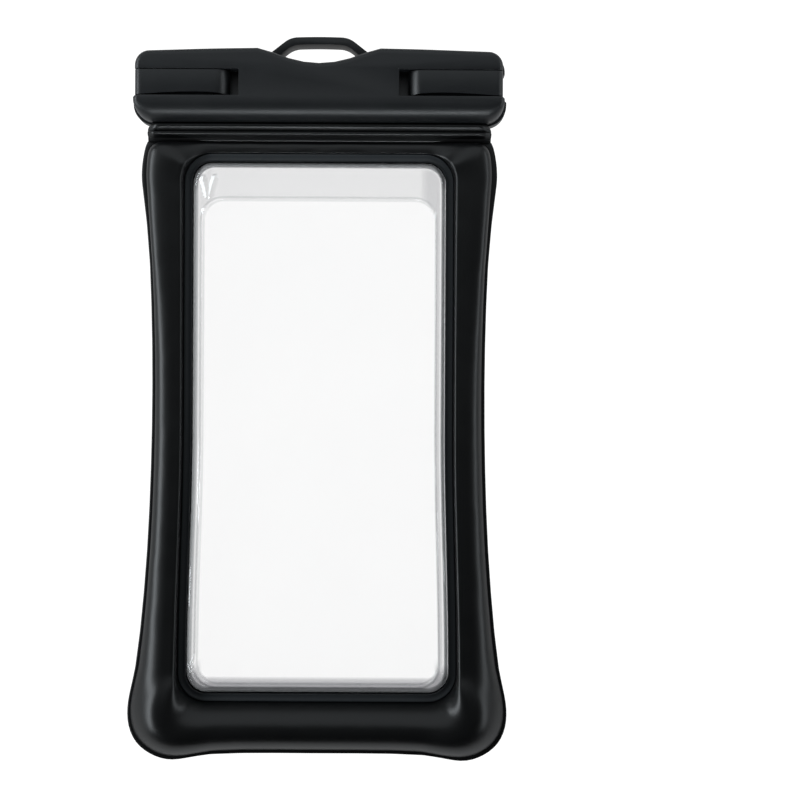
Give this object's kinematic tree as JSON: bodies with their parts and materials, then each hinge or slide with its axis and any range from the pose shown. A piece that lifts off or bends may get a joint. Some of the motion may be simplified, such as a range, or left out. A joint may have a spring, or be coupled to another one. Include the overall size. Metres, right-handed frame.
{
  "type": "waterproof phone pouch",
  "caption": "Flat waterproof phone pouch: clear windows in an inflated black frame, closed at the mouth by a clamp bar with swinging end latches and a carrying loop.",
  "frame": {"origin": "on the surface that the pouch lies on, under the middle of its outline", "axes": "+X across the pouch to the right seen from the front, +Y along it towards the clamp, +Z out of its front window"},
  "size_m": [0.1308, 0.2495, 0.02],
  "materials": {
    "black_abs": "fine matt moulded grain",
    "black_tpu": "smooth film with a soft sheen",
    "clear_tpu": "clear glossy film",
    "silicone": "satin",
    "steel": "drawn wire"
  },
  "bodies": {
    "pouch": {"rear_clamp_bar": "black_abs", "front_clamp_bar": "black_abs", "left_latch_pin": "steel", "right_latch_pin": "steel", "rear_seal": "silicone", "front_seal": "silicone", "rear_mouth_film": "black_tpu", "front_mouth_film": "black_tpu", "rear_air_frame": "black_tpu", "front_air_frame": "black_tpu", "rear_window": "clear_tpu", "front_window": "clear_tpu"},
    "left_latch": {"left_latch": "black_abs"},
    "right_latch": {"right_latch": "black_abs"}
  },
  "joints": [
    {"name": "left_latch_hinge", "type": "hinge", "parent": "pouch", "child": "left_latch", "pos_m": [-0.0604, 0.1081, 0.005], "axis": [0, -1, 0], "range_deg": [0, 100]},
    {"name": "right_latch_hinge", "type": "hinge", "parent": "pouch", "child": "right_latch", "pos_m": [0.0604, 0.1081, 0.005], "axis": [0, 1, 0], "range_deg": [0, 100]}
  ]
}
